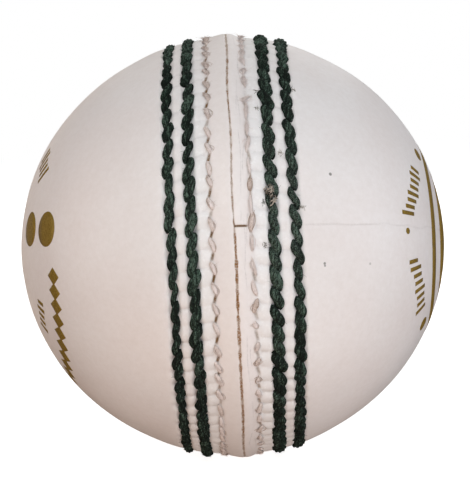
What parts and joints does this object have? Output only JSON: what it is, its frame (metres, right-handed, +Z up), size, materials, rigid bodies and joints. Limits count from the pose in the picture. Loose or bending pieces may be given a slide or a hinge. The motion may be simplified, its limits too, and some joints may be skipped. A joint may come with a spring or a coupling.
{
  "type": "cricket ball",
  "caption": "Hard round bat-and-ball sports ball: pale leather quarters stitched over a wound cork and yarn core, with a raised hand-stitched seam.",
  "frame": {"origin": "the ball's centre", "axes": "X through the centres of the two leather halves, across the seam; the seam lies in the YZ plane; -Y is the front; +Z is up"},
  "size_m": [0.0724, 0.0728, 0.0728],
  "materials": {
    "white_leather": "white pigmented hide under a thin clear lacquer, satin, slightly warm",
    "green_thread": "dark green waxed and twisted linen seam thread, matt",
    "pale_thread": "off-white waxed linen thread, matt",
    "gold_foil": "thin dull gold foil blocked into the leather, slightly worn",
    "worsted_yarn": "tightly wound undyed worsted yarn, matt",
    "cork_sheet": "thin natural cork sheet, matt and granular",
    "cork_rubber": "moulded cork and rubber composite, matt"
  },
  "bodies": {
    "root": {"cork_rubber_nucleus": "cork_rubber", "yarn_winding_inner": "worsted_yarn", "yarn_winding_middle": "worsted_yarn", "yarn_winding_outer": "worsted_yarn", "cork_wrap_inner_upper": "cork_sheet", "cork_wrap_inner_lower": "cork_sheet", "cork_wrap_outer_front": "cork_sheet", "cork_wrap_outer_rear": "cork_sheet", "leather_quarter_right_upper": "white_leather", "leather_quarter_right_lower": "white_leather", "leather_quarter_left_front": "white_leather", "leather_quarter_left_rear": "white_leather", "quarter_joint_thread_right": "pale_thread", "quarter_joint_thread_left": "pale_thread", "seam_row_right_inner": "pale_thread", "seam_row_left_inner": "pale_thread", "seam_row_right_middle": "green_thread", "seam_row_left_middle": "green_thread", "seam_row_right_outer": "green_thread", "seam_row_left_outer": "green_thread"}
  },
  "joints": []
}
